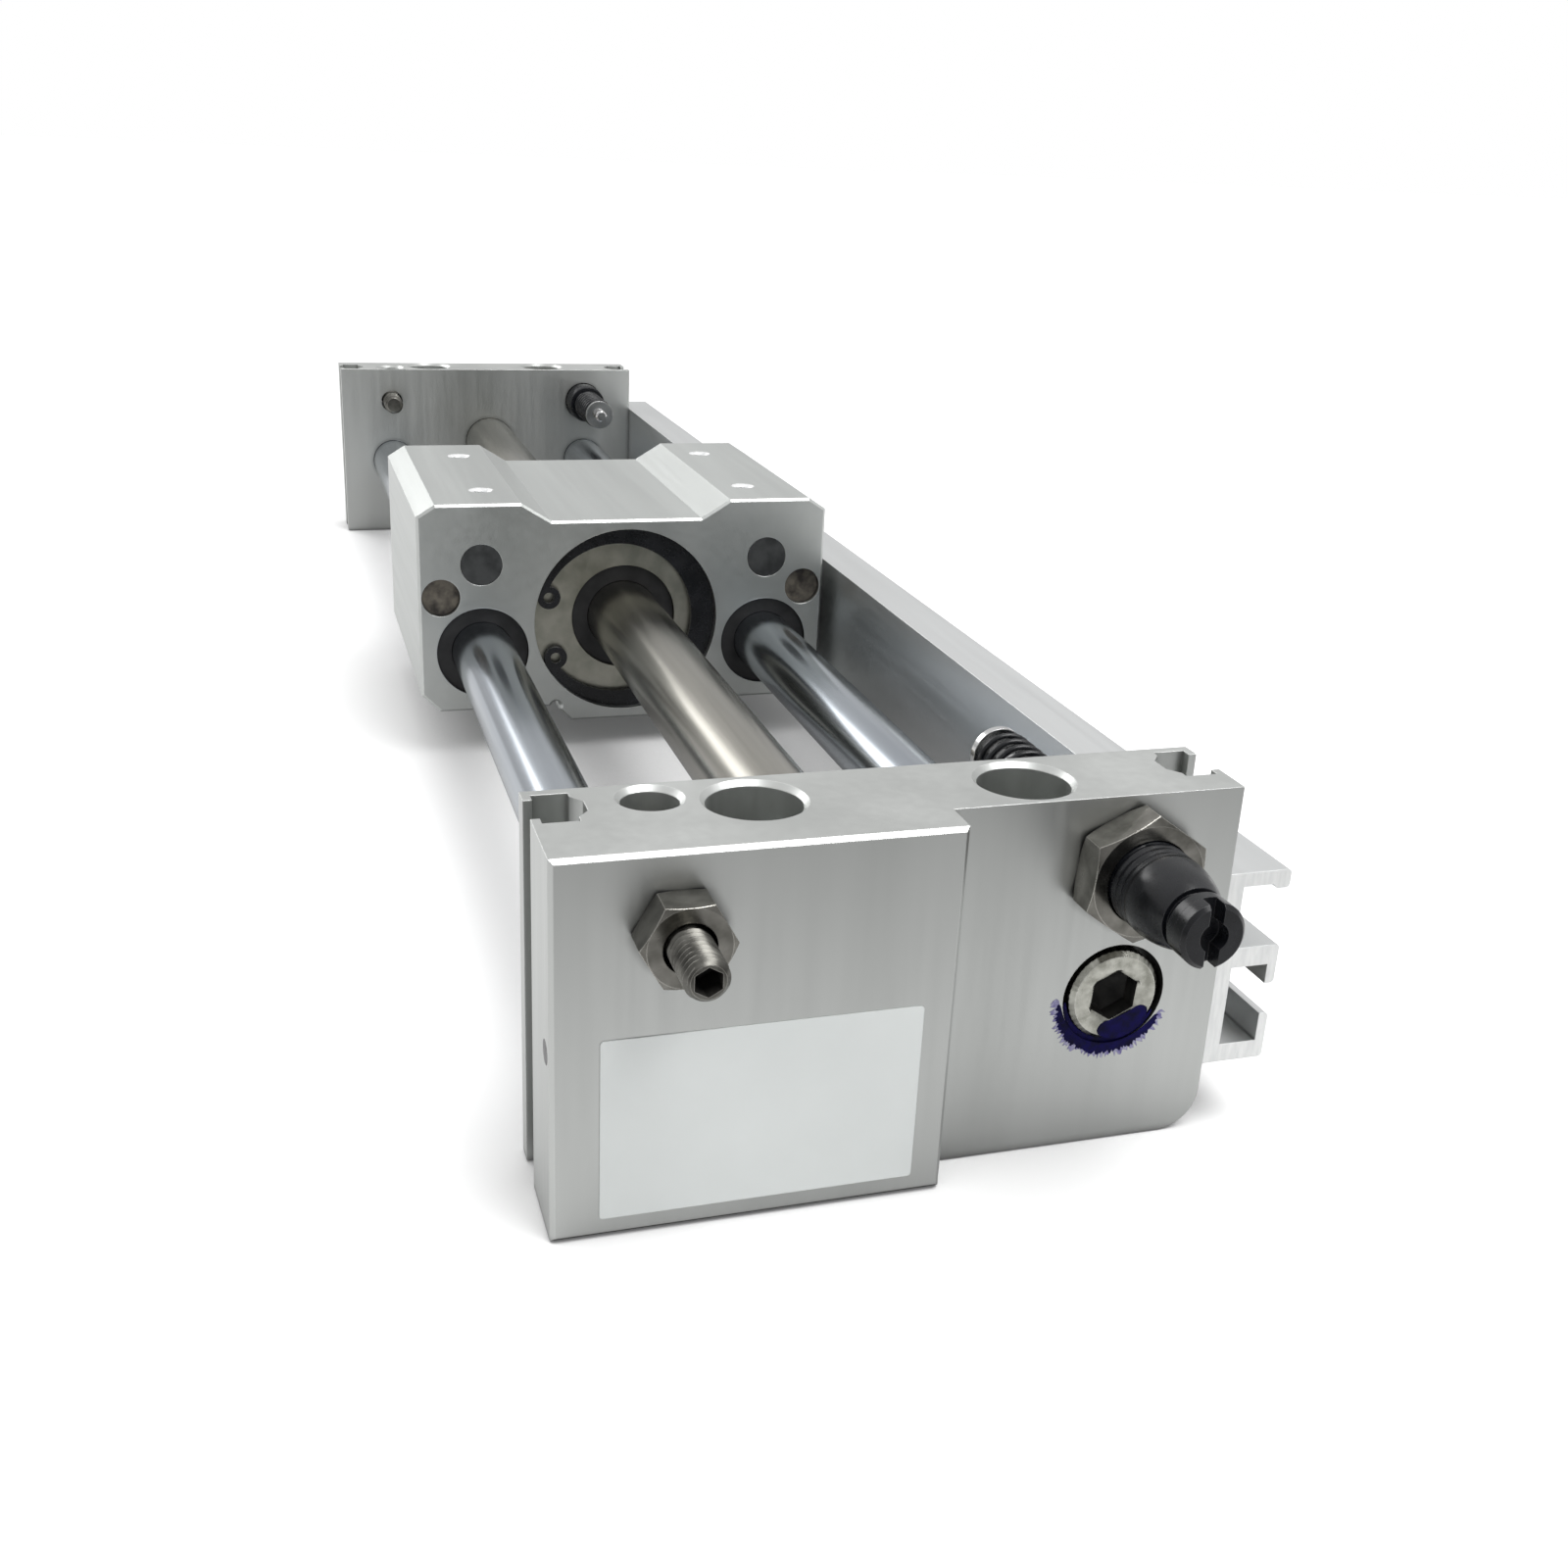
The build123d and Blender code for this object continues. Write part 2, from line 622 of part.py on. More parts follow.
# Screws of the rail, with their heads inside the narrow slot
with BuildPart() as rail_screws:
    with BuildSketch(Plane.YZ.offset(rail_nut_face - rail_nut_thickness)):
        with Locations((-slot_centre, rail_screw_height), (slot_centre, rail_screw_height)):
            Circle(rail_screw_radius)
    extrude(amount=rail_head_seat - rail_nut_face + rail_nut_thickness)
    with BuildSketch(Plane.YZ.offset(rail_head_seat)):
        with Locations((-slot_centre, rail_screw_height), (slot_centre, rail_screw_height)):
            Circle(rail_head_radius)
    extrude(amount=rail_head_height)
rail_screws.part.label = "rail_screws"
export_step(rail_screws.part, "parts/rail_screws.step")

# Square nuts of the rail screws, in the end slots of the plates
with BuildPart() as rail_nuts:
    with BuildSketch(Plane.YZ.offset(rail_nut_face - rail_nut_thickness)):
        with Locations((-slot_centre, rail_screw_height), (slot_centre, rail_screw_height)):
            Rectangle(rail_nut_across, rail_nut_across)
            Circle(rail_screw_radius + thread_clearance, mode=Mode.SUBTRACT)
    extrude(amount=rail_nut_thickness)
rail_nuts.part.label = "rail_nuts"
export_step(rail_nuts.part, "parts/rail_nuts.step")


def slider_half(side):
    """Points of one half of the slider's outline, from the middle of its top to its bottom."""
    outline = ((0, recess_height), (recess_half_width, recess_height), (pad_inner, pad_height),
               (slider_half_width - shoulder_chamfer, pad_height),
               (slider_half_width, pad_height - shoulder_fall),
               (slider_half_width, skirt_chamfer - skirt_depth),
               (slider_half_width - skirt_chamfer, -skirt_depth), (skirt_inner, -skirt_depth),
               (belly_half_width, -belly_depth), (0, -belly_depth))
    return [(side * x, tube_height + z) for x, z in outline]


def from_ends(depth, length):
    """Where a piece of this length starts, at this depth from the front and the back of the slider."""
    return (slider_front + depth, slider_back - depth - length)


# Slider block, an extrusion with three bores and raised pads for the load
with BuildPart() as slider_block:
    with BuildSketch(section(slider_back)):
        with BuildLine():
            Polyline(*slider_half(1), *reversed(slider_half(-1)[1:-1]), close=True)
        make_face()
        for side in sides:
            with Locations((side * skirt_inner, tube_height - skirt_depth)):
                Circle(skirt_groove_radius, mode=Mode.SUBTRACT)
    extrude(amount=slider_length)
    for face in slider_block.faces().filter_by(Axis.Y):
        chamfer(face.edges(), slider_edge_break)
    round_bar(0, tube_height, slider_front, slider_length, cartridge_radius, mode=Mode.SUBTRACT)
    for start in from_ends(ring_sink, ring_thickness):
        round_bar(0, tube_height, start, ring_thickness, cartridge_radius + ring_groove_depth,
                  mode=Mode.SUBTRACT)
    for side in sides:
        round_bar(side * shaft_x, shaft_height, slider_front, slider_length, bush_radius, mode=Mode.SUBTRACT)
        for start in from_ends(0, pad_thickness):
            round_bar(side * stop_x, stop_height, start, pad_thickness, pad_radius + seat_clearance,
                      mode=Mode.SUBTRACT)
        magnet_depth = switch_magnet_sink + switch_magnet_length
        for start in from_ends(0, magnet_depth):
            round_bar(side * magnet_hole_x, magnet_height, start, magnet_depth, magnet_hole_radius,
                      mode=Mode.SUBTRACT)
    with Locations((0, slider_offset, tube_height + pad_height)):
        with GridLocations(carriage_hole_x, carriage_hole_y, 2, 2):
            Hole(carriage_tap_radius, depth=carriage_tap_depth)
    mouths = slider_block.edges().filter_by(GeomType.CIRCLE).group_by(Axis.Z)[-1]
    chamfer(mouths, carriage_tap_chamfer)
slider_block.part.label = "slider_block"
export_step(slider_block.part, "parts/slider_block.step")


def end_rings(x, z, depth, length, radius, hole):
    """A pair of round pieces, one at each end of the slider."""
    for start in from_ends(depth, length):
        round_bar(x, z, start, length, radius, hole=hole)


# Plain bearing bushes on the guide shafts
with BuildPart() as guide_bushes:
    for side in sides:
        end_rings(side * shaft_x, shaft_height, wiper_sink + wiper_thickness, bush_length,
                  bush_radius - seat_clearance, shaft_radius + running_clearance)
guide_bushes.part.label = "guide_bushes"
export_step(guide_bushes.part, "parts/guide_bushes.step")

# Rubber wipers outside the bushes
with BuildPart() as guide_wipers:
    for side in sides:
        end_rings(side * shaft_x, shaft_height, wiper_sink, wiper_thickness,
                  bush_radius - seat_clearance, shaft_radius + running_clearance)
guide_wipers.part.label = "guide_wipers"
export_step(guide_wipers.part, "parts/guide_wipers.step")

# Retaining rings in the bore of the slider, with the gap and the two lugs on the left
ring_inner_radius = cartridge_radius - (ring_wide_side + ring_thin_side) / 2
ring_shift = (ring_wide_side - ring_thin_side) / 2
with BuildPart() as retaining_rings:
    for start in from_ends(ring_sink, ring_thickness):
        with BuildSketch(section(start + ring_thickness)):
            with Locations((0, tube_height)):
                Circle(cartridge_radius + ring_groove_depth - seat_clearance)
            with Locations((-ring_shift, tube_height)):
                Circle(ring_inner_radius, mode=Mode.SUBTRACT)
            with BuildLine():
                reach = 2 * cartridge_radius
                Polyline((0, tube_height), *[(reach * cos(radians(a)), tube_height + reach * sin(radians(a)))
                                             for a in ring_lug_angles], close=True)
            make_face(mode=Mode.SUBTRACT)
            lug_seat = cartridge_radius - ring_lug_inset
            with Locations(*[(lug_seat * cos(radians(a)), tube_height + lug_seat * sin(radians(a)))
                             for a in ring_lug_angles]):
                Circle(ring_lug_radius)
                Circle(ring_lug_hole, mode=Mode.SUBTRACT)
        extrude(amount=ring_thickness)
retaining_rings.part.label = "retaining_rings"
export_step(retaining_rings.part, "parts/retaining_rings.step")

# End washers that close the magnet cartridge
with BuildPart() as cartridge_washers:
    end_rings(0, tube_height, cartridge_start, washer_thickness,
              cartridge_radius - seat_clearance, washer_hole_radius)
cartridge_washers.part.label = "cartridge_washers"
export_step(cartridge_washers.part, "parts/cartridge_washers.step")

# Scrapers in the holes of the washers, against the tube
with BuildPart() as tube_scrapers:
    end_rings(0, tube_height, washer_end - scraper_thickness, scraper_thickness,
              washer_hole_radius - seat_clearance, tube_radius + running_clearance)
tube_scrapers.part.label = "tube_scrapers"
export_step(tube_scrapers.part, "parts/tube_scrapers.step")

# Oiled felt rings behind the scrapers
with BuildPart() as felt_rings:
    end_rings(0, tube_height, washer_end, felt_thickness, magnet_outer_radius,
              tube_radius + running_clearance)
felt_rings.part.label = "felt_rings"
export_step(felt_rings.part, "parts/felt_rings.step")

# Wear rings that carry the cartridge on the tube
with BuildPart() as tube_wear_rings:
    end_rings(0, tube_height, washer_end + felt_thickness, wear_length, magnet_outer_radius,
              tube_radius + running_clearance)
tube_wear_rings.part.label = "tube_wear_rings"
export_step(tube_wear_rings.part, "parts/tube_wear_rings.step")

# Sleeve round the magnets
with BuildPart() as magnet_sleeve:
    round_bar(0, tube_height, slider_front + washer_end, slider_length - 2 * washer_end,
              cartridge_radius - seat_clearance, hole=magnet_outer_radius + seat_clearance)
magnet_sleeve.part.label = "magnet_sleeve"
export_step(magnet_sleeve.part, "parts/magnet_sleeve.step")


def stack_rings(count, first, length, radius, hole):
    """Equal rings of a magnet stack, centred on the slider, the first at this depth in the stack."""
    for index in range(count):
        start = slider_offset - stack_length / 2 + first + index * (magnet_length + yoke_thickness)
        round_bar(0, tube_height, start, length, radius, hole=hole)


# Magnets and yokes in the slider
with BuildPart() as outer_magnets:
    stack_rings(magnet_count, yoke_thickness, magnet_length, magnet_outer_radius, tube_radius + tube_air_gap)
outer_magnets.part.label = "outer_magnets"
export_step(outer_magnets.part, "parts/outer_magnets.step")

with BuildPart() as outer_yokes:
    stack_rings(magnet_count + 1, 0, yoke_thickness, magnet_outer_radius, tube_radius + tube_air_gap)
outer_yokes.part.label = "outer_yokes"
export_step(outer_yokes.part, "parts/outer_yokes.step")

# Stop pads in both end faces, where the bolts and the absorbers strike
with BuildPart() as stop_pads:
    for side in sides:
        end_rings(side * stop_x, stop_height, 0, pad_thickness, pad_radius, 0)
stop_pads.part.label = "stop_pads"
export_step(stop_pads.part, "parts/stop_pads.step")

# Magnets that work the position switches
with BuildPart() as switch_magnets:
    for side in sides:
        end_rings(side * magnet_hole_x, magnet_height, switch_magnet_sink, switch_magnet_length,
                  magnet_hole_radius - seat_clearance, 0)
switch_magnets.part.label = "switch_magnets"
export_step(switch_magnets.part, "parts/switch_magnets.step")

# Piston core rod through the inner magnet stack
core_half = stack_length / 2 + piston_length + core_nut_thickness + core_end
with BuildPart() as piston_core:
    round_bar(0, tube_height, slider_offset - core_half, 2 * core_half, core_radius)
piston_core.part.label = "piston_core"
export_step(piston_core.part, "parts/piston_core.step")

with BuildPart() as piston_magnets:
    stack_rings(magnet_count, yoke_thickness, magnet_length, inner_magnet_radius, core_radius + seat_clearance)
piston_magnets.part.label = "piston_magnets"
export_step(piston_magnets.part, "parts/piston_magnets.step")

with BuildPart() as piston_yokes:
    stack_rings(magnet_count + 1, 0, yoke_thickness, inner_magnet_radius, core_radius + seat_clearance)
piston_yokes.part.label = "piston_yokes"
export_step(piston_yokes.part, "parts/piston_yokes.step")


def piston_pair(depth, length, radius, hole, mode=Mode.ADD):
    """A round piece on each end of the magnet stack, depth is counted outwards from the stack."""
    for start in (slider_offset - stack_length / 2 - depth - length, slider_offset + stack_length / 2 + depth):
        round_bar(0, tube_height, start, length, radius, hole=hole, mode=mode)


# Piston heads with a seal groove and a wear ring groove each
head_radius = bore_radius - 3 * running_clearance
ring_inset = (piston_length / 2 - piston_ring_width) / 2
seal_inset = piston_length / 2 + ring_inset
with BuildPart() as piston_heads:
    piston_pair(0, piston_length, head_radius, core_radius + seat_clearance)
    piston_pair(ring_inset, piston_ring_width, bore_radius, head_radius - piston_ring_depth,
                mode=Mode.SUBTRACT)
    piston_pair(seal_inset, piston_seal_width, bore_radius, head_radius - piston_seal_depth,
                mode=Mode.SUBTRACT)
piston_heads.part.label = "piston_heads"
export_step(piston_heads.part, "parts/piston_heads.step")

with BuildPart() as piston_wear_rings:
    piston_pair(ring_inset, piston_ring_width, bore_radius - running_clearance,
                head_radius - piston_ring_depth)
piston_wear_rings.part.label = "piston_wear_rings"
export_step(piston_wear_rings.part, "parts/piston_wear_rings.step")

with BuildPart() as piston_seals:
    piston_pair(seal_inset, piston_seal_width, bore_radius - running_clearance,
                head_radius - piston_seal_depth)
piston_seals.part.label = "piston_seals"
export_step(piston_seals.part, "parts/piston_seals.step")

# Nuts that clamp the piston together, and bumper rings round them
with BuildPart() as piston_nuts:
    for start in (slider_offset - core_half + core_end, slider_offset + core_half - core_end - core_nut_thickness):
        add(nut(0, tube_height, start, core_nut_thickness, core_nut_across, core_radius + thread_clearance))
piston_nuts.part.label = "piston_nuts"
export_step(piston_nuts.part, "parts/piston_nuts.step")

with BuildPart() as piston_bumpers:
    piston_pair(piston_length, bumper_thickness, bumper_radius,
                core_nut_across / 2 / cos(radians(30)) + seat_clearance)
piston_bumpers.part.label = "piston_bumpers"
export_step(piston_bumpers.part, "parts/piston_bumpers.step")
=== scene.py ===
import bmesh
import bpy
import json
import math
import random
from mathutils import Matrix, Vector


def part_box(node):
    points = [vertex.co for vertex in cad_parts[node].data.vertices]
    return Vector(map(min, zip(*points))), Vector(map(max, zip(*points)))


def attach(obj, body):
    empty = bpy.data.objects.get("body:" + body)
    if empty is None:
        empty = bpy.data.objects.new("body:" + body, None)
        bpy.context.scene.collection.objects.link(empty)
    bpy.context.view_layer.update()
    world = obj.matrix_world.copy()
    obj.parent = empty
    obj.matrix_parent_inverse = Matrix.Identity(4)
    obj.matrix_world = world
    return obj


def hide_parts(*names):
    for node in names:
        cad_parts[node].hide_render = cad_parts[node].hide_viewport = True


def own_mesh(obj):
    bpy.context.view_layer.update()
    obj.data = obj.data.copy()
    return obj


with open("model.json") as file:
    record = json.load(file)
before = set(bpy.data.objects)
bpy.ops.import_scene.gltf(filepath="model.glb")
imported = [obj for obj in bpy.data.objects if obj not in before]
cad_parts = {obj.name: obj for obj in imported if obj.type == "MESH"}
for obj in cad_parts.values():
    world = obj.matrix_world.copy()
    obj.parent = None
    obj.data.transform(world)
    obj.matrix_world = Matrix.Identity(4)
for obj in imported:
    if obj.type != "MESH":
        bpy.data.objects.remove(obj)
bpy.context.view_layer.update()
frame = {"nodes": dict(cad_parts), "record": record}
MM = 0.001

# Camera, solved from the photograph: focal length in pixels of a 1600 pixel frame
FRAME_PIXELS = 1600
FOCAL_PIXELS = 1719.7
SENSOR = 36.0
PITCH = math.radians(21.337)
YAW = math.radians(18.051)
ROLL = math.radians(2.773)
CAMERA_PLACE = Vector((-58.23, -291.96, 100.52)) * MM

# Finishes
SHARP_ANGLE = math.radians(38)
EDGE_RADIUS = 0.15 * MM
# Sharp edges are lightened: partly wear, partly a painted highlight
EDGE_WEAR_AND_GLINT = 0.8
# Painted shade in corners and narrow gaps
CORNER_SHADE_COLOR = (0.012, 0.012, 0.012)
CORNER_SHADE_STRENGTH = 0.9
SPECK_COLOR = (0.10, 0.10, 0.11)
SPECK_CELL = 6.0 * MM
SPECK_SIZE = 0.16 * MM
SAWN_GRAIN = 1800.0
SAWN_DULLNESS = 0.6

# Sides of round pieces, and steps in one turn of a thread
BOLT_SIDES = 48
BOLT_STEPS = 7
ABSORBER_SIDES = 56
INSERT_SIDES = 40
THREAD_STEPS = 6

# The label's place on the front plate
LABEL_LEFT, LABEL_RIGHT = -31.3 * MM, 0.7 * MM
LABEL_BOTTOM, LABEL_TOP = 2.0 * MM, 21.5 * MM
LABEL_THICKNESS = 0.08 * MM
LABEL_CORNER = 0.4 * MM
LABEL_CORNER_STEPS = 4

# Adjusting bolts
BOLT_RADIUS = 2.2 * MM
BOLT_PITCH = 0.8 * MM
BOLT_THREAD_DEPTH = 0.38 * MM
BOLT_CHAMFER = 0.55 * MM
BOLT_SOCKET = 2.5 * MM
BOLT_SOCKET_DEPTH = 3.5 * MM

# Shock absorbers, depths counted from the outer end
ABSORBER_RADIUS = 4.45 * MM
ABSORBER_PITCH = 1.0 * MM
ABSORBER_THREAD_DEPTH = 0.24 * MM
ABSORBER_BORE = 2.6 * MM
ABSORBER_WALL = 9.0 * MM
ABSORBER_DOME_START = 9.0 * MM
ABSORBER_DOME_END = 3.9 * MM
ABSORBER_DOME_FALL = 1.1 * MM
ABSORBER_DOME_STEPS = 10
ABSORBER_NECK = 2.8 * MM
ABSORBER_NECK_END = 3.3 * MM
KNOB_RADIUS = 3.4 * MM
KNOB_EDGE = 0.4 * MM
KNOB_SLOT = 1.5 * MM
KNOB_SLOT_DEPTH = 1.8 * MM
KNOB_HOLE = 1.5 * MM
KNOB_STEPS = 24
KNOB_HOLE_STEPS = 12

# Return springs of the shock absorbers
SPRING_WIRE_RADIUS = 0.4 * MM
SPRING_COILS = 7.0
SPRING_STEPS = 28
SPRING_SIDES = 10

# Screws in the ends of the right shaft, depths counted from the face of the head
SCREW_LIFT = 0.9 * MM
SCREW_HEAD_RADIUS = 5.1 * MM
SCREW_HEAD_HEIGHT = 4.0 * MM
SCREW_HEAD_EDGE = 0.5 * MM
SCREW_KNURL = 0.06 * MM
SCREW_KNURLS = 44
SCREW_KNURL_STEPS = 4
SCREW_SHANK_RADIUS = 2.95 * MM
SCREW_LENGTH = 14.0 * MM
SCREW_SOCKET = 5.0 * MM
SCREW_SOCKET_DEPTH = 2.4 * MM
SCREW_SOCKET_RIM = 3.1 * MM
SCREW_RIM_DEPTH = 0.3 * MM
SCREW_SOCKET_TIP = 0.5 * MM
SCREW_SOCKET_TIP_FALL = 1.0 * MM
SCREW_TURN = math.radians(-4)
COUNTERBORE_RADIUS = 5.8 * MM

# Thread inserts in the slider, near white as a painted highlight on the lit hole walls
INSERT_MOUTH = 2.0 * MM
INSERT_CONE = 0.42 * MM
INSERT_RADIUS = 1.62 * MM
INSERT_PITCH = 0.7 * MM
INSERT_THREAD_DEPTH = 0.28 * MM
INSERT_LENGTH = 4.0 * MM
INSERT_LIP = 0.05 * MM
INSERT_LIP_DEPTH = 0.02 * MM
INSERT_WALL = 0.04 * MM

# Ink mark round the front shaft screw
INK_THICKNESS = 0.02 * MM
INK_STEPS = 110
INK_LEAST_WIDTH = 0.05 * MM
INK_TAPER = 0.35
INK_OVERHANG = 0.15 * MM
INK_WIDTH = 1.15 * MM
INK_FRINGE_WIDTH = 1.35 * MM
INK_DEPTH_IN_GAP = 0.2 * MM
INK_INNER_ON_HEAD = 2.5 * MM


def link(obj):
    bpy.context.scene.collection.objects.link(obj)
    return obj


def make_camera():
    """The photograph's viewpoint, with no shift."""
    forward = Vector((math.sin(YAW) * math.cos(PITCH), math.cos(YAW) * math.cos(PITCH), -math.sin(PITCH)))
    level = Vector((math.cos(YAW), -math.sin(YAW), 0))
    above = level.cross(forward)
    right = math.cos(ROLL) * level + math.sin(ROLL) * above
    up = -math.sin(ROLL) * level + math.cos(ROLL) * above
    data = bpy.data.cameras.new("camera")
    data.sensor_width = SENSOR
    data.lens = FOCAL_PIXELS * SENSOR / FRAME_PIXELS
    data.clip_start = 0.01
    camera = link(bpy.data.objects.new("camera", data))
    turn = Matrix((right, up, -forward)).transposed().to_4x4()
    camera.matrix_world = Matrix.Translation(CAMERA_PLACE) @ turn
    bpy.context.scene.camera = camera


class Nodes:
    """Short names for the shader nodes that the materials use."""

    def __init__(self, tree):
        self.tree = tree

    def add(self, kind, **inputs):
        node = self.tree.nodes.new("ShaderNode" + kind)
        for name, value in inputs.items():
            self.feed(node.inputs[name.replace("_", " ")], value)
        return node

    def feed(self, socket, value):
        if isinstance(value, bpy.types.NodeSocket):
            self.tree.links.new(value, socket)
        else:
            socket.default_value = value

    def noise(self, scale, stretch=(1, 1, 1), detail=4.0):
        """Noise over the piece's own coordinates, drawn out along an axis with a small stretch."""
        place = self.add("TexCoord").outputs["Object"]
        mapped = self.add("Mapping", Vector=place, Scale=stretch).outputs["Vector"]
        return self.add("TexNoise", Vector=mapped, Scale=scale, Detail=detail).outputs["Fac"]

    def span(self, value, low, high, start=0.35, end=0.65):
        """The value spread over a range, held at its ends."""
        node = self.add("MapRange", Value=value)
        for name, number in (("From Min", start), ("From Max", end), ("To Min", low), ("To Max", high)):
            self.feed(node.inputs[name], number)
        return node.outputs["Result"]

    def blend(self, factor, first, second):
        """A mix of two colours, each a colour or a socket."""
        node = self.tree.nodes.new("ShaderNodeMix")
        node.data_type = "RGBA"
        self.feed(node.inputs["Factor"], factor)
        self.feed(node.inputs["A"], rgba(first))
        self.feed(node.inputs["B"], rgba(second))
        return node.outputs["Result"]

    def math(self, operation, first, second):
        node = self.tree.nodes.new("ShaderNodeMath")
        node.operation = operation
        self.feed(node.inputs[0], first)
        self.feed(node.inputs[1], second)
        return node.outputs["Value"]

    def rounded(self, radius):
        """The normal as if sharp edges had this radius, and a mask that is 1 along them."""
        bevel = self.add("Bevel", Radius=radius)
        bevel.samples = 4
        flat = self.add("NewGeometry").outputs["Normal"]
        dot = self.tree.nodes.new("ShaderNodeVectorMath")
        dot.operation = "DOT_PRODUCT"
        self.feed(dot.inputs[0], bevel.outputs["Normal"])
        self.feed(dot.inputs[1], flat)
        return bevel.outputs["Normal"], self.span(dot.outputs["Value"], 1.0, 0.0, start=0.93, end=0.995)

    def crevice(self, reach):
        """1 in corners and narrow gaps, 0 in the open: the mask of painted shade."""
        node = self.add("AmbientOcclusion", Distance=reach)
        node.samples = 8
        return self.span(node.outputs["AO"], 1.0, 0.0, start=0.15, end=0.85)

    def specks(self, cell, size, share):
        """1 in a few small round marks, one at most in a cell, in this share of the cells."""
        place = self.add("TexCoord").outputs["Object"]
        voronoi = self.add("TexVoronoi", Vector=place, Scale=1 / cell)
        pick = self.add("SeparateColor", Color=voronoi.outputs["Color"]).outputs["Red"]
        spot = self.span(voronoi.outputs["Distance"], 1.0, 0.0, start=0.6 * size / cell, end=size / cell)
        return self.math("MULTIPLY", spot, self.math("LESS_THAN", pick, share))

    def end_faces(self):
        """1 on faces that look along the stroke."""
        normal = self.add("NewGeometry").outputs["Normal"]
        along = self.add("SeparateXYZ", Vector=normal).outputs["Y"]
        return self.span(self.math("ABSOLUTE", along, 0.0), 0.0, 1.0, start=0.85, end=0.95)

    def relief(self, height, distance, normal=None):
        node = self.add("Bump", Height=height, Strength=1.0, Distance=distance)
        if normal is not None:
            self.feed(node.inputs["Normal"], normal)
        return node.outputs["Normal"]


def rgba(color):
    return (*color, 1.0) if isinstance(color, tuple) else color


def start_material(name):
    material = bpy.data.materials.new(name)
    material.use_nodes = True
    return material, Nodes(material.node_tree), material.node_tree.nodes["Principled BSDF"]


def surface(name, dark, light, smooth, rough, metallic=1.0, stretch=(1, 1, 1), streak=60.0, grain=900.0,
            relief=0.004, edge_wear_and_glint=None, crevice=0.0, specks=0.0, sawn=None, specular=0.5):
    """A material with slow streaks of colour, fine grain in its gloss and relief, and edges lightened partly
    as wear and partly as a painted highlight.

    Crevice is how far painted shade reaches out of corners and narrow gaps in mm, specks the share of cells
    with a dark mark, and sawn the colour of sawn ends."""
    material, nodes, shader = start_material(name)
    slow = nodes.noise(streak, stretch)
    fine = nodes.noise(grain, stretch, detail=2.0)
    color = nodes.blend(nodes.span(slow, 0.0, 1.0), dark, light)
    normal, mask = nodes.rounded(EDGE_RADIUS)
    shine = metallic
    if sawn:
        ends = nodes.end_faces()
        cut = nodes.noise(SAWN_GRAIN, (1, 1, 0.15))
        color = nodes.blend(ends, color, nodes.blend(nodes.span(cut, 0.0, 0.5), sawn, dark))
        shine = nodes.math("SUBTRACT", metallic, nodes.math("MULTIPLY", ends, SAWN_DULLNESS))
    # Sharp edges lightened: partly wear, partly a painted highlight
    if edge_wear_and_glint:
        color = nodes.blend(nodes.math("MULTIPLY", mask, EDGE_WEAR_AND_GLINT), color, edge_wear_and_glint)
    if specks:
        color = nodes.blend(nodes.specks(SPECK_CELL, SPECK_SIZE, specks), color, SPECK_COLOR)
    # Corners and narrow gaps darkened by ambient occlusion: painted shade
    if crevice:
        corner_shade = nodes.math("MULTIPLY", nodes.crevice(crevice * MM), CORNER_SHADE_STRENGTH)
        color = nodes.blend(corner_shade, color, CORNER_SHADE_COLOR)
    both = nodes.math("ADD", nodes.math("MULTIPLY", slow, 0.5), nodes.math("MULTIPLY", fine, 0.5))
    nodes.feed(shader.inputs["Base Color"], color)
    nodes.feed(shader.inputs["Roughness"], nodes.span(both, smooth, rough))
    nodes.feed(shader.inputs["Normal"], nodes.relief(fine, relief * MM, normal))
    nodes.feed(shader.inputs["Metallic"], shine)
    shader.inputs["Specular IOR Level"].default_value = specular
    return material


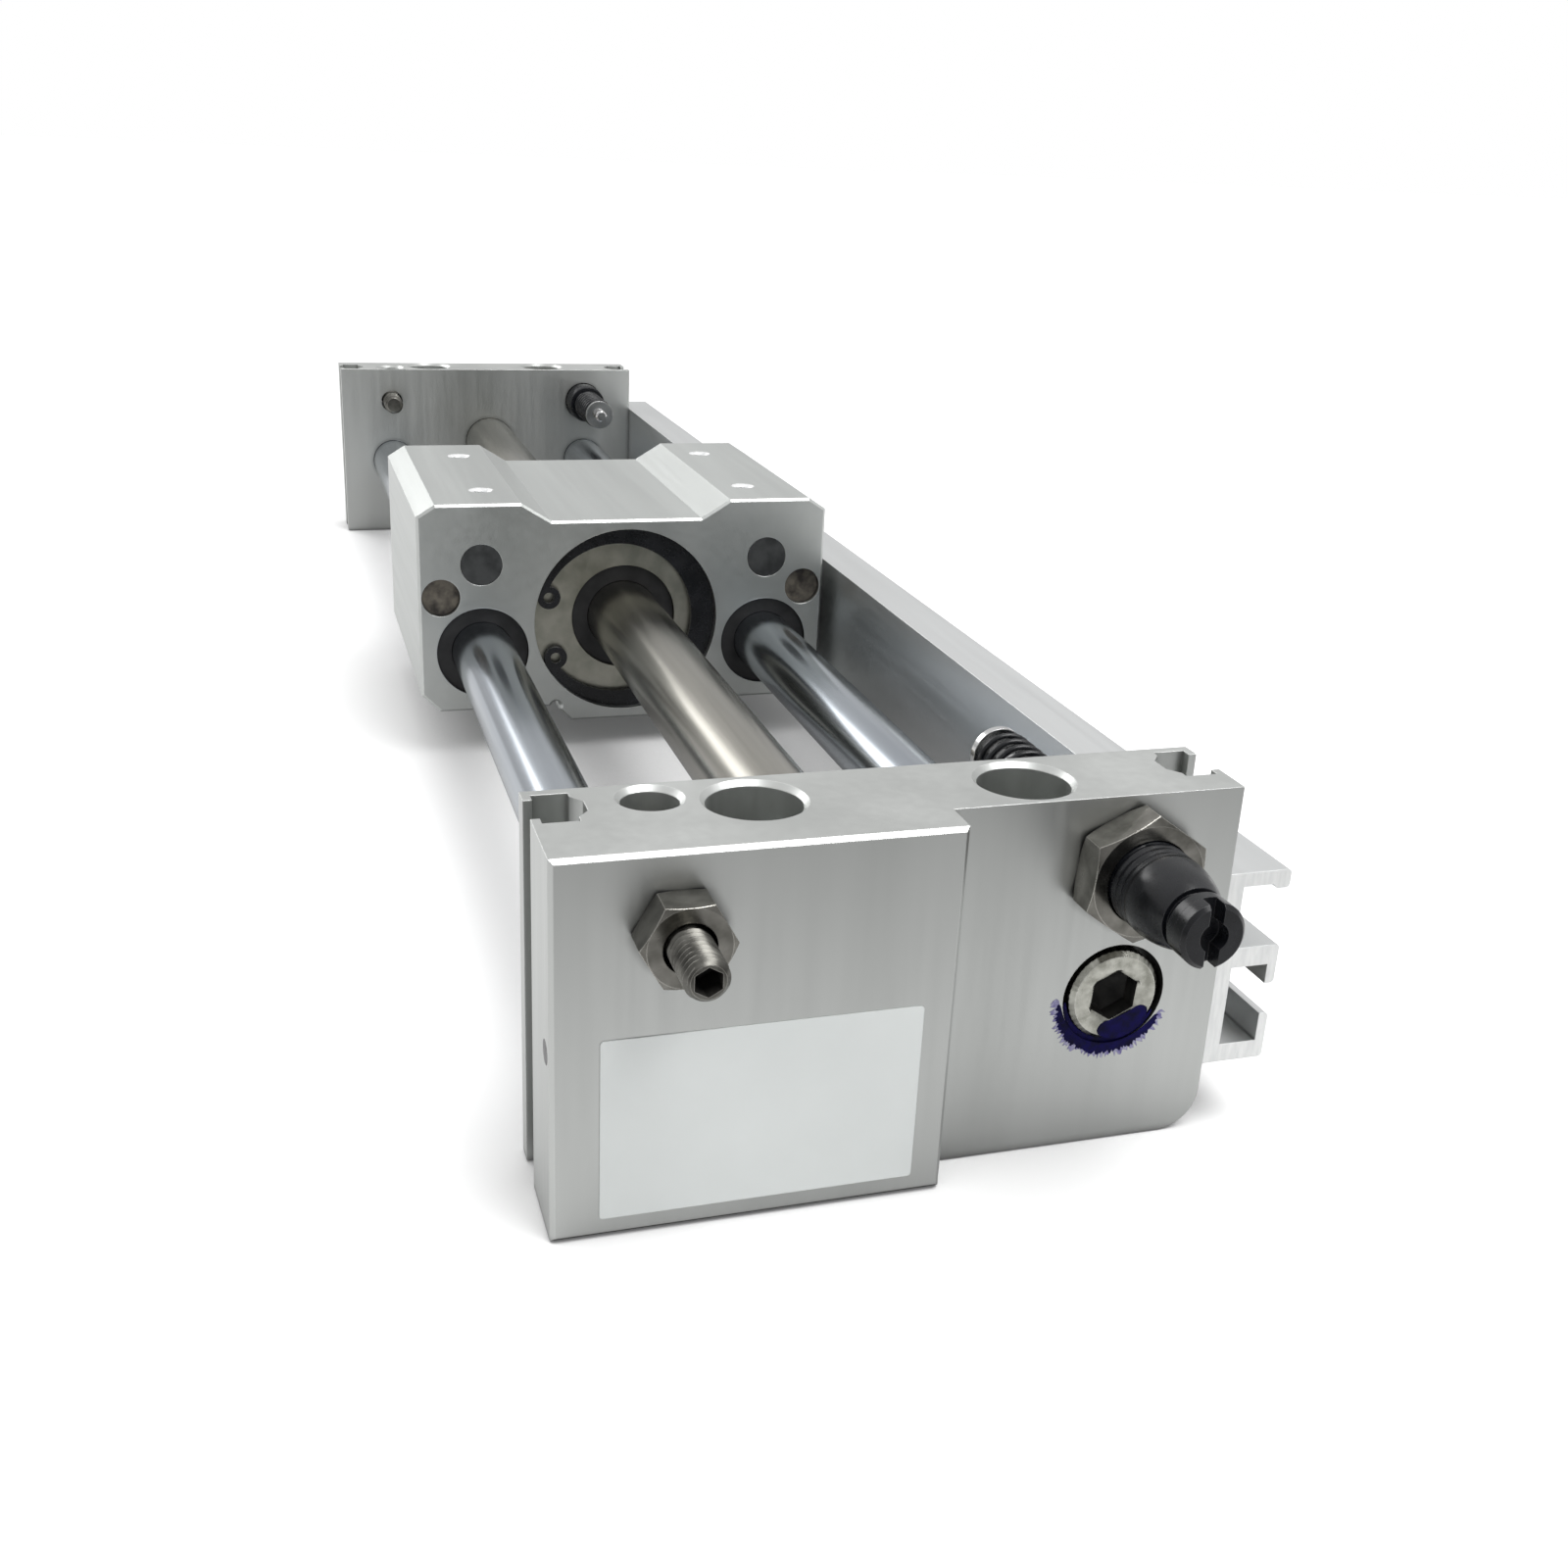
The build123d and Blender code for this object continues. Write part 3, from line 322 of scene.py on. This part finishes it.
def make_looks():
    """One finish for each material slot of the record, and those that need a look of their own."""
    upright, along = (1, 1, 0.06), (1, 0.03, 1)
    return {
        "anodised": surface("anodised_upright", (0.58, 0.595, 0.58), (0.68, 0.695, 0.68), 0.34, 0.46,
                            stretch=upright, edge_wear_and_glint=(0.76, 0.77, 0.76), crevice=1.5, specks=0.05),
        "rail_anodised": surface("anodised_rail", (0.74, 0.755, 0.755), (0.84, 0.85, 0.85), 0.36, 0.46,
                                 stretch=along, edge_wear_and_glint=(0.90, 0.91, 0.91), crevice=0.6,
                                 sawn=(0.97, 0.98, 0.97)),
        "slider_anodised": surface("anodised_slider", (0.56, 0.58, 0.565), (0.65, 0.67, 0.655), 0.34, 0.45,
                                   stretch=along, edge_wear_and_glint=(0.88, 0.89, 0.88), crevice=0.8, specks=0.03),
        "stainless_tube": surface("stainless_tube", (0.28, 0.272, 0.245), (0.46, 0.445, 0.40), 0.19, 0.27,
                                  stretch=along, streak=260.0, relief=0.003),
        "hard_chrome": surface("hard_chrome", (0.36, 0.39, 0.43), (0.54, 0.58, 0.62), 0.16, 0.21,
                               stretch=along, streak=200.0, relief=0.002),
        "nickel": surface("nickel", (0.15, 0.146, 0.13), (0.31, 0.30, 0.275), 0.13, 0.28, streak=350.0,
                          relief=0.008, edge_wear_and_glint=(0.88, 0.86, 0.80), crevice=0.5),
        "oiled_steel": surface("oiled_steel", (0.09, 0.088, 0.08), (0.24, 0.235, 0.215), 0.28, 0.42,
                               streak=350.0, relief=0.008, edge_wear_and_glint=(0.5, 0.49, 0.45), crevice=0.4),
        "screw_plate": surface("screw_plate", (0.32, 0.32, 0.28), (0.64, 0.64, 0.58), 0.2, 0.38, streak=700.0,
                               relief=0.01, edge_wear_and_glint=(0.9, 0.89, 0.84), crevice=0.6),
        "champagne_washer": surface("champagne_washer", (0.38, 0.38, 0.325), (0.52, 0.51, 0.445), 0.28, 0.42,
                                    streak=300.0, relief=0.006, crevice=0.6),
        "black_steel": surface("black_steel", (0.002, 0.0025, 0.004), (0.010, 0.011, 0.014), 0.18, 0.36,
                               metallic=0.0, streak=250.0, relief=0.01, edge_wear_and_glint=(0.05, 0.05, 0.055)),
        "rod_steel": surface("rod_steel", (0.60, 0.60, 0.60), (0.80, 0.80, 0.80), 0.10, 0.22,
                             stretch=along, streak=200.0),
        "pad_steel": surface("pad_steel", (0.028, 0.030, 0.031), (0.06, 0.063, 0.064), 0.42, 0.6,
                             metallic=0.3, streak=400.0, relief=0.01, crevice=0.4),
        "yoke_steel": surface("yoke_steel", (0.38, 0.38, 0.38), (0.50, 0.50, 0.50), 0.3, 0.45, streak=300.0),
        "magnet": surface("magnet", (0.04, 0.035, 0.032), (0.19, 0.17, 0.14), 0.32, 0.55,
                          metallic=0.5, streak=500.0, relief=0.02, crevice=0.5),
        "bronze": surface("bronze", (0.50, 0.36, 0.18), (0.66, 0.50, 0.30), 0.3, 0.5, streak=300.0),
        "rubber": surface("rubber", (0.008, 0.008, 0.009), (0.022, 0.022, 0.023), 0.45, 0.65,
                          metallic=0.0, streak=300.0, relief=0.01),
        "polymer": surface("polymer", (0.05, 0.05, 0.055), (0.09, 0.09, 0.095), 0.45, 0.6,
                           metallic=0.0, streak=300.0),
        "felt": surface("felt", (0.36, 0.32, 0.26), (0.60, 0.55, 0.46), 0.85, 0.95,
                        metallic=0.0, streak=900.0, grain=2500.0, relief=0.08),
        "label": surface("label", (0.74, 0.77, 0.76), (0.80, 0.83, 0.82), 0.35, 0.5,
                         metallic=0.0, streak=40.0, relief=0.002),
        "ink": surface("ink", (0.002, 0.0015, 0.022), (0.007, 0.005, 0.075), 0.5, 0.75,
                       metallic=0.0, streak=900.0, relief=0.01, specular=0.1),
        "ink_fringe": surface("ink_fringe", (0.16, 0.14, 0.36), (0.46, 0.45, 0.60), 0.5, 0.7,
                              metallic=0.2, streak=1500.0, relief=0.004, specular=0.3),
        # Near black for the insides of sockets: painted shade in the holes
        "oily_dark": surface("oily_dark", (0.010, 0.010, 0.010), (0.034, 0.033, 0.030), 0.4, 0.6,
                             metallic=0.0, streak=500.0, specular=0.2),
        # Near white: a painted highlight for the lit walls of the slider's tapped holes
        "bright_thread": surface("bright_thread", (0.86, 0.87, 0.87), (0.95, 0.96, 0.96), 0.3, 0.45,
                                 metallic=0.2, streak=900.0, edge_wear_and_glint=(0.98, 0.98, 0.98)),
    }


def dress_nodes(looks):
    """The record's slot gives each node its finish; the rail's streaks run along it."""
    for row in frame["record"]["subparts"]:
        mesh = frame["nodes"][row["node"]].data
        mesh.materials.clear()
        mesh.materials.append(looks[row["material_slot"]])
    rail = frame["nodes"]["switch_rail"].data
    rail.materials[0] = looks["rail_anodised"]


def piece(name, points, faces, materials, body, second=()):
    """A mesh that moves with a body, and the faces that have its second material."""
    mesh = bpy.data.meshes.new(name)
    mesh.from_pydata(points, [], faces)
    for material in materials:
        mesh.materials.append(material)
    for index in second:
        mesh.polygons[index].material_index = 1
    shape = bmesh.new()
    shape.from_mesh(mesh)
    bmesh.ops.recalc_face_normals(shape, faces=shape.faces)
    shape.to_mesh(mesh)
    shape.free()
    mesh.shade_smooth()
    mesh.set_sharp_from_angle(angle=SHARP_ANGLE)
    obj = link(bpy.data.objects.new(name, mesh))
    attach(obj, body)
    return obj


def lathe(rings, place, count, closed=False):
    """Points and faces of rings round an axis, each a depth and a function from angle to radius."""
    points, faces = [], []
    for depth, radius in rings:
        for step in range(count):
            angle = 2 * math.pi * step / count
            points.append(place(depth, radius(angle) * math.cos(angle), radius(angle) * math.sin(angle)))
    total = len(rings)
    for ring in range(total if closed else total - 1):
        for step in range(count):
            near, far = ring * count, (ring + 1) % total * count
            after = (step + 1) % count
            faces.append((near + step, near + after, far + after, far + step))
    if not closed:
        faces.append(tuple(range(count)))
        faces.append(tuple(range((total - 1) * count, total * count)))
    return points, faces


def even(radius):
    return lambda angle: radius


def hexagon(across, turn=0.0):
    return lambda angle: across / 2 / math.cos((angle - turn + math.pi / 6) % (math.pi / 3) - math.pi / 6)


def thread(radius, depth, pitch, place, hand=1, limit=None):
    """The radius of a screw thread at this place along it, cut down to a limit at its ends."""
    def reach(angle):
        turn = (place / pitch + hand * angle / (2 * math.pi)) % 1.0
        crest = radius - depth * abs(2 * turn - 1)
        return crest if limit is None else min(crest, limit)
    return reach


def along_stroke(x, z, outer, outward):
    """Places by their depth in from an outer end that looks to the front (-1) or the back (1)."""
    return lambda depth, across, up: (x + across, outer - outward * depth, z + up)


def middle(node):
    """The axis of a round node along the stroke, its ends, and which way its outer end looks."""
    low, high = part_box(node)
    outward = -1 if abs(low.y) > abs(high.y) else 1
    outer = low.y if outward < 0 else high.y
    return (low.x + high.x) / 2, (low.z + high.z) / 2, outer, outward, high.y - low.y


def threaded_bolt(node, looks):
    """A set bolt with its thread and its socket, in place of the plain one."""
    x, z, outer, outward, length = middle(node)
    end_radius = BOLT_RADIUS - BOLT_CHAMFER
    steps = round(length / (BOLT_PITCH / BOLT_STEPS))
    rings = []
    for step in range(steps + 1):
        depth = length * (1 - step / steps)
        limit = end_radius + min(depth, length - depth)
        rings.append((depth, thread(BOLT_RADIUS, BOLT_THREAD_DEPTH, BOLT_PITCH, depth, outward, limit)))
    rings += [(0.0, hexagon(BOLT_SOCKET)), (BOLT_SOCKET_DEPTH, hexagon(BOLT_SOCKET)),
              (BOLT_SOCKET_DEPTH + BOLT_CHAMFER, even(BOLT_CHAMFER))]
    points, faces = lathe(rings, along_stroke(x, z, outer, outward), BOLT_SIDES)
    # The socket's walls and bottom take the painted shade
    socket = list(range((steps + 1) * BOLT_SIDES, (len(rings) - 1) * BOLT_SIDES)) + [len(faces) - 1]
    bolt = piece(node + "_threaded", points, faces, (looks["oiled_steel"], looks["oily_dark"]),
                 "frame", socket)
    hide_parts(node)


def half_knob(side, radius):
    """The outline of one half of the slotted knob, round the hole in its middle."""
    gap, outline = KNOB_SLOT / 2, []
    for reach, steps, way in ((radius, KNOB_STEPS, 1), (KNOB_HOLE, KNOB_HOLE_STEPS, -1)):
        half = math.acos(gap / reach)
        for step in range(steps + 1):
            angle = way * half * (2 * step / steps - 1)
            outline.append((side * reach * math.cos(angle), reach * math.sin(angle)))
    return outline


def absorber(node, looks):
    """A shock absorber's body with its thread, its dome and its slotted knob."""
    x, z, outer, outward, length = middle(node)
    place = along_stroke(x, z, outer, outward)
    rings = [(ABSORBER_WALL, even(ABSORBER_BORE)), (length, even(ABSORBER_BORE))]
    steps = round((length - ABSORBER_DOME_START) / (ABSORBER_PITCH / THREAD_STEPS))
    for step in range(steps + 1):
        depth = length + (ABSORBER_DOME_START - length) * step / steps
        limit = ABSORBER_RADIUS - ABSORBER_THREAD_DEPTH + (length - depth)
        valley = ABSORBER_THREAD_DEPTH * min(1.0, (depth - ABSORBER_DOME_START) / ABSORBER_PITCH)
        rings.append((depth, thread(ABSORBER_RADIUS, valley, ABSORBER_PITCH, depth, outward, limit)))
    for step in range(1, ABSORBER_DOME_STEPS + 1):
        share = step / ABSORBER_DOME_STEPS
        depth = ABSORBER_DOME_START + (ABSORBER_DOME_END - ABSORBER_DOME_START) * share
        rings.append((depth, even(ABSORBER_RADIUS - ABSORBER_DOME_FALL * share ** 2)))
    rings += [(ABSORBER_DOME_END, even(ABSORBER_NECK)), (ABSORBER_NECK_END, even(ABSORBER_NECK)),
              (ABSORBER_NECK_END, even(KNOB_RADIUS - KNOB_EDGE)),
              (ABSORBER_NECK_END - KNOB_EDGE, even(KNOB_RADIUS)), (KNOB_SLOT_DEPTH, even(KNOB_RADIUS))]
    points, faces = lathe(rings, place, ABSORBER_SIDES)
    for side in (-1, 1):
        levels = ((KNOB_SLOT_DEPTH, KNOB_RADIUS), (KNOB_EDGE, KNOB_RADIUS), (0.0, KNOB_RADIUS - KNOB_EDGE))
        first = len(points)
        for depth, radius in levels:
            outline = half_knob(side, radius)
            points += [place(depth, across, up) for across, up in outline]
        count = len(outline)
        for level in range(2):
            for step in range(count):
                a, b = first + level * count + step, first + level * count + (step + 1) % count
                faces.append((a, b, b + count, a + count))
        faces.append(tuple(range(first, first + count)))
        faces.append(tuple(range(first + 2 * count, first + 3 * count)))
    body = piece(node + "_threaded", points, faces, (looks["black_steel"],), "frame")
    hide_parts(node)


def return_spring(end, looks):
    """A coiled return spring round its absorber's rod, in place of the plain one, fixed to the frame."""
    node = end + "_absorber_spring"
    x, z, outer, outward, length = middle(node)
    place = along_stroke(x, z, outer, outward)
    low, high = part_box(node)
    radius = (high.x - low.x) / 2 - SPRING_WIRE_RADIUS
    steps, count = round(SPRING_COILS * SPRING_STEPS), SPRING_SIDES
    points, faces = [], []
    for step in range(steps + 1):
        turn = 2 * math.pi * SPRING_COILS * step / steps
        depth = SPRING_WIRE_RADIUS + (length - 2 * SPRING_WIRE_RADIUS) * step / steps
        for corner in range(count):
            angle = 2 * math.pi * corner / count
            reach = radius + SPRING_WIRE_RADIUS * math.cos(angle)
            points.append(place(depth + SPRING_WIRE_RADIUS * math.sin(angle),
                                reach * math.cos(turn), reach * math.sin(turn)))
    for step in range(steps):
        for corner in range(count):
            near, after = step * count + corner, step * count + (corner + 1) % count
            faces.append((near, after, after + count, near + count))
    faces.append(tuple(range(count)))
    faces.append(tuple(range(steps * count, (steps + 1) * count)))
    spring = piece(node + "_coil", points, faces, (looks["black_steel"],), "frame")
    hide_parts(node)
    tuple(place(0, 0, 0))
    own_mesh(spring)


def end_screws(looks):
    """Both socket head screws of the right shaft, with knurled heads."""
    low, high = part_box("shaft_end_screws")
    x, z = (low.x + high.x) / 2, (low.z + high.z) / 2
    count = SCREW_KNURL_STEPS * SCREW_KNURLS
    socket = hexagon(SCREW_SOCKET, SCREW_TURN)

    def knurled(angle):
        return SCREW_HEAD_RADIUS - SCREW_KNURL * (0.5 + 0.5 * math.cos(SCREW_KNURLS * angle))

    rings = [(SCREW_LENGTH, even(SCREW_SHANK_RADIUS)), (SCREW_HEAD_HEIGHT, even(SCREW_SHANK_RADIUS)),
             (SCREW_HEAD_HEIGHT, knurled), (SCREW_HEAD_EDGE, knurled),
             (0.0, even(SCREW_HEAD_RADIUS - SCREW_HEAD_EDGE)), (0.0, even(SCREW_SOCKET_RIM)),
             (SCREW_RIM_DEPTH, socket), (SCREW_SOCKET_DEPTH, socket),
             (SCREW_SOCKET_DEPTH + SCREW_SOCKET_TIP_FALL, even(SCREW_SOCKET_TIP))]
    rim_ring, last_ring = 6, len(rings) - 1
    points, faces, inside = [], [], []
    for outer, outward in ((low.y - SCREW_LIFT, -1), (high.y + SCREW_LIFT, 1)):
        first, before = len(points), len(faces)
        some, more = lathe(rings, along_stroke(x, z, outer, outward), count)
        points += some
        faces += [tuple(first + corner for corner in face) for face in more]
        # The sockets' walls and bottoms take the painted shade
        inside += list(range(before + rim_ring * count, before + last_ring * count)) + [len(faces) - 1]
    screws = piece("shaft_end_screws_knurled", points, faces, (looks["screw_plate"], looks["oily_dark"]),
                   "frame", inside)
    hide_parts("shaft_end_screws")


def thread_inserts(looks):
    """Threads in the four holes on top of the slider, near white: a painted highlight on the lit hole walls.
    """
    holes = next(mount for mount in frame["record"]["mounts"] if mount["name"] == "carriage_bolts")
    across, along = holes["dims"]["spacing_x_mm"] * MM / 2, holes["dims"]["spacing_y_mm"] * MM / 2
    cx, cy, top = holes["pos_m"]
    steps = round((INSERT_LENGTH - INSERT_CONE) / (INSERT_PITCH / THREAD_STEPS))
    rings = [(INSERT_LENGTH, even(INSERT_RADIUS)), (INSERT_CONE, even(INSERT_RADIUS)),
             (INSERT_LIP_DEPTH, even(INSERT_MOUTH)), (INSERT_LIP_DEPTH, even(INSERT_MOUTH - INSERT_LIP))]
    for step in range(steps + 1):
        depth = INSERT_CONE + (INSERT_LENGTH - INSERT_CONE) * step / steps
        rings.append((depth, thread(INSERT_RADIUS - INSERT_WALL, INSERT_THREAD_DEPTH, INSERT_PITCH, depth)))
    points, faces = [], []
    for x in (cx - across, cx + across):
        for y in (cy - along, cy + along):
            first = len(points)
            some, more = lathe(rings, lambda depth, u, v: (x + u, y + v, top - depth), INSERT_SIDES,
                               closed=True)
            points += some
            faces += [tuple(first + corner for corner in face) for face in more]
    piece("thread_inserts", points, faces, (looks["bright_thread"],), "carriage")


def bare_label(looks):
    """The blank rating label on the block's face."""
    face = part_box("front_plate")[0].y
    outline = []
    corners = ((LABEL_RIGHT, LABEL_TOP, 0), (LABEL_LEFT, LABEL_TOP, 90),
               (LABEL_LEFT, LABEL_BOTTOM, 180), (LABEL_RIGHT, LABEL_BOTTOM, 270))
    for x, z, start in corners:
        cx = x - math.copysign(LABEL_CORNER, x - (LABEL_LEFT + LABEL_RIGHT) / 2)
        cz = z - math.copysign(LABEL_CORNER, z - (LABEL_BOTTOM + LABEL_TOP) / 2)
        for step in range(LABEL_CORNER_STEPS + 1):
            angle = math.radians(start + 90 / LABEL_CORNER_STEPS * step)
            outline.append((cx + LABEL_CORNER * math.cos(angle), cz + LABEL_CORNER * math.sin(angle)))
    count = len(outline)
    points = [(x, y, z) for y in (face, face - LABEL_THICKNESS) for x, z in outline]
    faces = [tuple(range(count)), tuple(range(2 * count - 1, count - 1, -1))]
    faces += [(i, i + count, (i + 1) % count + count, (i + 1) % count) for i in range(count)]
    piece("rating_label", points, faces, (looks["label"],), "frame")


def ink_band(name, y, center, radii, angles, ragged, material, seed):
    """A hand drawn band of ink round part of a circle, on a face towards the front."""
    draw = random.Random(seed)
    (x, z), (inner, outer), (first, last) = center, radii, angles
    points, faces = [], []
    for step in range(INK_STEPS + 1):
        share = step / INK_STEPS
        angle = math.radians(first + (last - first) * share)
        pinch = (outer - inner) * 0.5 * (1 - math.sin(math.pi * share) ** INK_TAPER)
        near = inner + pinch
        far = outer - pinch + ragged * (draw.random() - 0.4)
        for radius in (near, max(far, near + INK_LEAST_WIDTH)):
            for depth in (0.0, INK_THICKNESS):
                points.append((x + radius * math.cos(angle), y - depth, z + radius * math.sin(angle)))
    for step in range(INK_STEPS):
        a, b = 4 * step, 4 * step + 4
        faces += [(a + 1, a + 3, b + 3, b + 1), (a, b, b + 2, a + 2), (a, a + 1, b + 1, b),
                  (a + 2, b + 2, b + 3, a + 3)]
    tip = 4 * INK_STEPS
    faces += [(0, 2, 3, 1), (tip, tip + 1, tip + 3, tip + 2)]
    piece(name, points, faces, (material,), "frame")


def ink_marks(looks):
    """The ink mark round the lower half of the front shaft screw."""
    low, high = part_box("shaft_end_screws")
    center = (low.x + high.x) / 2, (low.z + high.z) / 2
    plate_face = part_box("switch_rail")[0].y
    head_face = low.y - SCREW_LIFT
    rim = COUNTERBORE_RADIUS - INK_OVERHANG
    ink_band("ink_fringe", plate_face, center, (COUNTERBORE_RADIUS, COUNTERBORE_RADIUS + INK_FRINGE_WIDTH),
             (178, 338), 0.8 * MM, looks["ink_fringe"], seed=5)
    ink_band("ink_on_plate", plate_face - INK_THICKNESS, center, (rim, rim + INK_WIDTH), (184, 332), 0.5 * MM,
             looks["ink"], seed=3)
    ink_band("ink_in_gap", plate_face + INK_DEPTH_IN_GAP, center, (SCREW_HEAD_RADIUS, COUNTERBORE_RADIUS),
             (184, 334), 0.0, looks["ink"], seed=6)
    ink_band("ink_on_head", head_face, center, (INK_INNER_ON_HEAD, SCREW_HEAD_RADIUS), (246, 338), 0.1 * MM,
             looks["ink"], seed=8)


def make_stage():
    """A white floor that keeps a soft shadow, its glow dimmed near the object as painted shade."""
    size, drop, shade_reach = 4.0, 0.2 * MM, 0.07
    mesh = bpy.data.meshes.new("floor")
    corners = [(-size, -size, -drop), (size, -size, -drop), (size, size, -drop), (-size, size, -drop)]
    mesh.from_pydata(corners, [], [(0, 1, 2, 3)])
    floor = link(bpy.data.objects.new("floor", mesh))
    material, nodes, shader = start_material("floor")
    shader.inputs["Roughness"].default_value = 0.9
    shader.inputs["Specular IOR Level"].default_value = 0.1
    shader.inputs["Emission Color"].default_value = (1, 1, 1, 1)
    path = nodes.add("LightPath")
    place = nodes.add("NewGeometry").outputs["Position"]
    away = nodes.tree.nodes.new("ShaderNodeVectorMath")
    away.operation = "LENGTH"
    nodes.feed(away.inputs[0], place)
    backdrop = nodes.span(away.outputs["Value"], 0.55, 0.9, start=0.4, end=1.2)
    in_front = nodes.add("SeparateXYZ", Vector=place).outputs["Y"]
    # Seen in gloss the floor is darker further in front: painted shade in reflections
    mirrored = nodes.span(in_front, 0.13, 0.84, start=-0.30, end=-0.165)
    glossy = path.outputs["Is Glossy Ray"]
    # Ambient occlusion dims the floor's glow under and beside the object: painted shade
    open_sky = nodes.add("AmbientOcclusion", Distance=shade_reach)
    open_sky.samples = 8
    shade = nodes.span(open_sky.outputs["AO"], 0.1, 1.0, start=0.3, end=0.85)
    seen = nodes.math("ADD", nodes.math("MULTIPLY", path.outputs["Is Camera Ray"], backdrop),
                      nodes.math("MULTIPLY", glossy, mirrored))
    nodes.feed(shader.inputs["Base Color"], nodes.blend(glossy, (0.82, 0.82, 0.82), (0.1, 0.1, 0.1)))
    nodes.feed(shader.inputs["Emission Strength"], nodes.math("MULTIPLY", seen, shade))
    mesh.materials.append(material)


def make_world():
    """White for the eye, a grey that is lighter overhead for gloss, and a soft fill for the rest."""
    world = bpy.data.worlds.new("studio")
    bpy.context.scene.world = world
    world.use_nodes = True
    nodes = Nodes(world.node_tree)
    background = world.node_tree.nodes["Background"]
    path = nodes.add("LightPath")
    direction = nodes.add("TexCoord").outputs["Generated"]
    parts = nodes.add("SeparateXYZ", Vector=direction)
    overhead = nodes.span(parts.outputs["Z"], 0.56, 0.9, start=0.0, end=0.9)
    behind = nodes.span(parts.outputs["Y"], 0.55, 1.0, start=-0.9, end=0.5)
    gloss = nodes.math("MULTIPLY", overhead, behind)
    fill = 0.5
    level = nodes.math("ADD", fill, nodes.math("MULTIPLY", path.outputs["Is Glossy Ray"],
                                               nodes.math("SUBTRACT", gloss, fill)))
    see = nodes.math("MAXIMUM", path.outputs["Is Camera Ray"], path.outputs["Is Transmission Ray"])
    nodes.feed(background.inputs["Strength"], nodes.math("MAXIMUM", level, see))
    background.inputs["Color"].default_value = (1, 1, 1, 1)


def area_light(name, place, size, power):
    """A square white lamp that looks at the origin."""
    data = bpy.data.lights.new(name, "AREA")
    data.shape = "SQUARE"
    data.size = size
    data.energy = power
    lamp = link(bpy.data.objects.new(name, data))
    lamp.location = place
    lamp.rotation_euler = (-Vector(place)).to_track_quat("-Z", "Y").to_euler()


def make_lights():
    """A soft box overhead, a little in front, and a weak one behind."""
    area_light("overhead", (0.24, -0.34, 0.78), 0.55, 5.0)
    area_light("behind", (-0.5, 0.8, 0.55), 0.55, 2.6)


bpy.context.scene.view_settings.view_transform = "Standard"
looks = make_looks()
dress_nodes(looks)
for end in ("front", "rear"):
    threaded_bolt(end + "_adjust_bolt", looks)
    absorber(end + "_absorber_body", looks)
    return_spring(end, looks)
end_screws(looks)
thread_inserts(looks)
bare_label(looks)
ink_marks(looks)
make_camera()
make_stage()
make_world()
make_lights()
